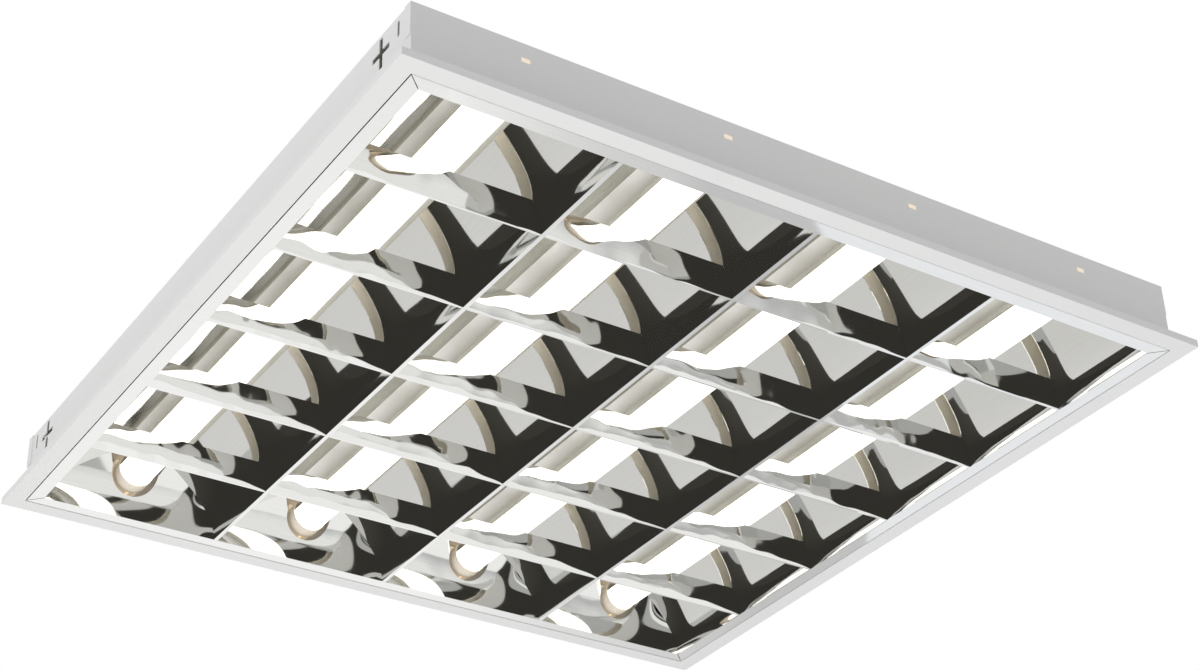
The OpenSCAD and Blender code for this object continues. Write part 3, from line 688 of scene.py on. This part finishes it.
# %% Dark flags and grey cards
DARK_LOW, DARK_HIGH = (0.066, 0.062, 0.053), (0.038, 0.036, 0.031)
DARK_LEFT, GREY_LEVEL = (0.045, 0.042, 0.036), (0.50, 0.50, 0.48)
GREY_HIGH, GREY_LOW = (0.71, 0.705, 0.69), (0.61, 0.605, 0.58)
EYE_START, EYE_END, LEFT_END, FLAG_END, GREY_END = -182, -100, -64, -31, 8
FLAG_FOOT, FLAG_TOP, DARKEST_SHARE = 10, 88, 0.5
CARD_FOOT, CARD_MIDDLE, CARD_TOP = 8, 66, 89
eye_flag = {"start_tone": DARK_LOW, "end_tone": DARK_HIGH, "stop": DARKEST_SHARE}
dark_and_grey = [
    bent_card("dark_flag_by_the_eye", (EYE_START, EYE_END), (FLAG_FOOT, FLAG_TOP), **eye_flag),
    bent_card("dark_flag_low_left", (LEFT_END, FLAG_END), (CARD_MIDDLE, CARD_TOP), DARK_LEFT),
    bent_card("grey_card_left", (EYE_END, LEFT_END), (CARD_FOOT, CARD_TOP), GREY_LOW, GREY_HIGH),
    bent_card("grey_card_far", (LEFT_END, GREY_END), (CARD_FOOT, CARD_MIDDLE), GREY_LOW, GREY_HIGH),
    bent_card("grey_card_low", (FLAG_END, GREY_END), (CARD_MIDDLE, CARD_TOP), GREY_LEVEL),
]
print("dark and grey cards:", len(dark_and_grey))

# %% [markdown]
# ## White and pale cards
#
# The far and the right side of the room are bright. The white card fades into a
# narrow shaded one, so that the mirrors have a soft grey step in their white, and
# the two cards after it are a little cooler and a little warmer than white.

# %% White and pale cards
WHITE, SHADED, PALE = (1.0, 1.0, 1.0), (0.60, 0.605, 0.61), (0.90, 0.92, 0.95)
FAR_WHITE, RIGHT_WHITE = (0.85, 0.85, 0.85), (0.95, 0.945, 0.93)
WHITE_END, FADE_END, SHADE_END, PALE_END, RIGHT_END = 26, 41, 46, 112, 164
FAR_FOOT, RIGHT_FOOT, WHITEST_SHARE = 36, 24, 0.3
RIGHT_SPAN = (RIGHT_FOOT, CARD_TOP)
far_white = {"start_tone": FAR_WHITE, "end_tone": WHITE, "stop": WHITEST_SHARE}
bright = [
    bent_card("white_card_far", (GREY_END, WHITE_END), (FAR_FOOT, CARD_TOP), **far_white),
    bent_card("fading_card_right", (WHITE_END, FADE_END), RIGHT_SPAN, WHITE, SHADED, ALONG_BEARING),
    bent_card("grey_card_right", (FADE_END, SHADE_END), RIGHT_SPAN, SHADED),
    bent_card("pale_card_right", (SHADE_END, PALE_END), RIGHT_SPAN, PALE),
    bent_card("white_card_right", (PALE_END, RIGHT_END), RIGHT_SPAN, RIGHT_WHITE),
]
print("bright cards reach down to", round(min(v.co.z for c in bright for v in c.data.vertices), 2))

# %% [markdown]
# ## Soft light
#
# One wide softbox stands on the left, where the side wall faces it, and another
# lies under the light. The pale room round them adds the rest, evenly. Bare bulbs
# would throw hard shadows of the lip, and broad area lamps don't. The mirrors
# don't see the lamps, because the cards already are what they show.

# %% Softboxes
def add_area(name, place, target, size, power):
    lamp = bpy.data.lights.new(name, "AREA")
    lamp.shape, lamp.size, lamp.size_y, lamp.energy = "RECTANGLE", size[0], size[1], power
    holder = bpy.data.objects.new(name, lamp)
    bpy.context.collection.objects.link(holder)
    holder.location = place
    holder.rotation_euler = (Vector(target) - Vector(place)).to_track_quat("-Z", "Y").to_euler()
    holder.visible_glossy = False
    return lamp


MIDDLE = (0, 0, 0)
SIDE_PLACE, SIDE_SIZE, SIDE_WATTS = (-2.4, -0.3, -0.9), (2.0, 2.0), 16
LOW_PLACE, LOW_SIZE, LOW_WATTS = (-0.5, -0.2, -2.2), (2.4, 2.4), 22
add_area("side_softbox", SIDE_PLACE, MIDDLE, SIDE_SIZE, SIDE_WATTS)
add_area("floor_softbox", LOW_PLACE, MIDDLE, LOW_SIZE, LOW_WATTS)
print("softboxes give", SIDE_WATTS + LOW_WATTS, "watts")

# %% [markdown]
# ## Light that comes back up
#
# The louvre throws part of the tubes' light back up into the tray, where it shows
# on the white pan beside each tube. A renderer finds such light slowly, so a thin
# warm lamp close under the pan stands in for it in each lane. The tubes turn in
# their holders, so the places of their joints say where the lanes are.

# %% Light on the pan
PAN_UNDERSIDE = 0.0498
PAN_GAP = 0.0017
PAN_GLOW, PAN_GLOW_COLOUR = 0.029, (1.0, 0.94, 0.80)
STRIP_OF_PAN = (0.075, 0.53)


def add_pan_glow(number, x):
    name = f"pan_glow_{number}"
    place, above = (x, 0, PAN_UNDERSIDE - PAN_GAP), (x, 0, 1)
    lamp = add_area(name, place, above, STRIP_OF_PAN, PAN_GLOW)
    lamp.color = PAN_GLOW_COLOUR
    bpy.data.objects[name].visible_camera = False


joints = frame["record"]["behaviour"]["joints"]
tube_places = [joint["pos_m"][0] for joint in joints if joint["name"].startswith("tube")]
for number, x in enumerate(tube_places, 1):
    add_pan_glow(number, x)
print("lamps under the pan at x =", tube_places)

# %% [markdown]
# ## The room
#
# The eye, the mirrors and glass see a white room. Matt surfaces get less light
# from it, so that white steel keeps its shades instead of burning out. A light
# path node tells these rays apart, which one plain background couldn't do.

# %% Room
AMBIENT, FULL = 0.55, 1.0


def set_world():
    """White where the eye, a mirror or glass sees the room, and AMBIENT as light on the object."""
    world = bpy.data.worlds.new("white_room")
    bpy.context.scene.world = world
    world.use_nodes = True
    tree = world.node_tree
    back = tree.nodes["Background"]
    path = node(tree, "ShaderNodeLightPath")
    seen = node(tree, "ShaderNodeMath", operation="MAXIMUM")
    wire(tree, path.outputs["Is Camera Ray"], seen.inputs[0])
    wire(tree, path.outputs["Is Glossy Ray"], seen.inputs[1])
    clear = node(tree, "ShaderNodeMath", operation="MAXIMUM")
    wire(tree, seen.outputs["Value"], clear.inputs[0])
    wire(tree, path.outputs["Is Transmission Ray"], clear.inputs[1])
    level = node(tree, "ShaderNodeMapRange", {"To Min": AMBIENT, "To Max": FULL})
    wire(tree, clear.outputs["Value"], level.inputs["Value"])
    wire(tree, level.outputs["Result"], back.inputs["Strength"])
    back.inputs["Color"].default_value = (1, 1, 1, 1)


set_world()
bpy.context.scene.view_settings.view_transform = "Standard"
print("matt surfaces get", AMBIENT, "of the room's light")
